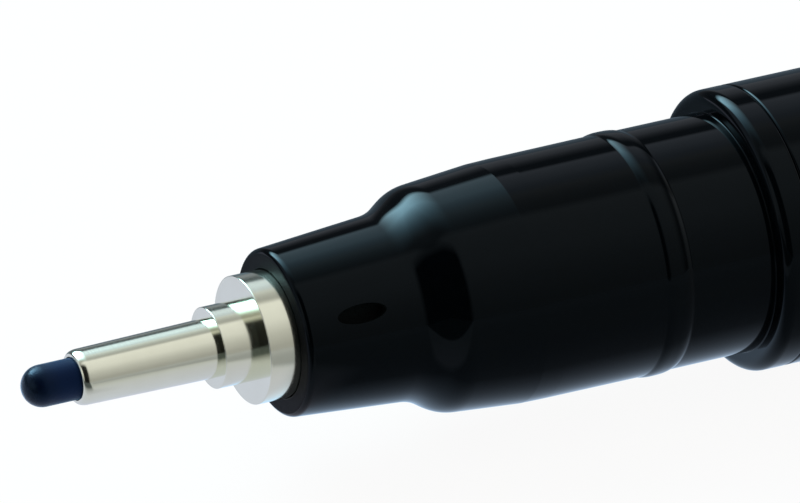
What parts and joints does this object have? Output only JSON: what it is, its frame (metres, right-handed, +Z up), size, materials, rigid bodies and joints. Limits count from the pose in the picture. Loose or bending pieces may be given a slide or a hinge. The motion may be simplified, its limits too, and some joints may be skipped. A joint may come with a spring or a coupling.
{
  "type": "fineliner pen",
  "caption": "Fineliner pen with a plastic nib in a stepped metal tip, a black moulded front section and barrel, and a clipped cap posted on its tail.",
  "frame": {"origin": "on the table, midway along the pen and under its axis", "axes": "+X runs along the pen from the nib to the end of the cap, +Z is up, and the clip is on the -Y side, resting on the table"},
  "size_m": [0.1508, 0.0116, 0.0106],
  "materials": {
    "nib_plastic": "porous plastic soaked with dark ink, smooth and slightly satin",
    "tip_metal": "turned and polished nickel silver",
    "black_plastic": "injection-moulded, polished black",
    "ink_fibre": "bundled polyester fibre, soaked with ink",
    "clear_film": "thin translucent film",
    "seal_plastic": "natural polyethylene, moulded",
    "clip_steel": "pressed spring steel, nickel plated"
  },
  "bodies": {
    "pen": {"nib": "nib_plastic", "metal_tip": "tip_metal", "front_section": "black_plastic", "ink_reservoir": "ink_fibre", "reservoir_film": "clear_film", "barrel": "black_plastic", "tail_plug": "black_plastic"},
    "cap": {"cap_shell": "black_plastic", "cap_seal": "seal_plastic", "cap_crown": "black_plastic", "clip_root": "clip_steel"},
    "clip": {"clip_arm": "clip_steel"}
  },
  "joints": [
    {"name": "cap_slide", "type": "slide", "parent": "pen", "child": "cap", "axis": [1, 0, 0], "range_m": [0, 0.0196]},
    {"name": "clip_flex", "type": "hinge", "parent": "cap", "child": "clip", "pos_m": [0.07347, -0.00342, 0.00286], "axis": [0, -0.5811, 0.8139], "range_deg": [0, 4], "stiffness_Nm_per_rad": 0.9}
  ]
}
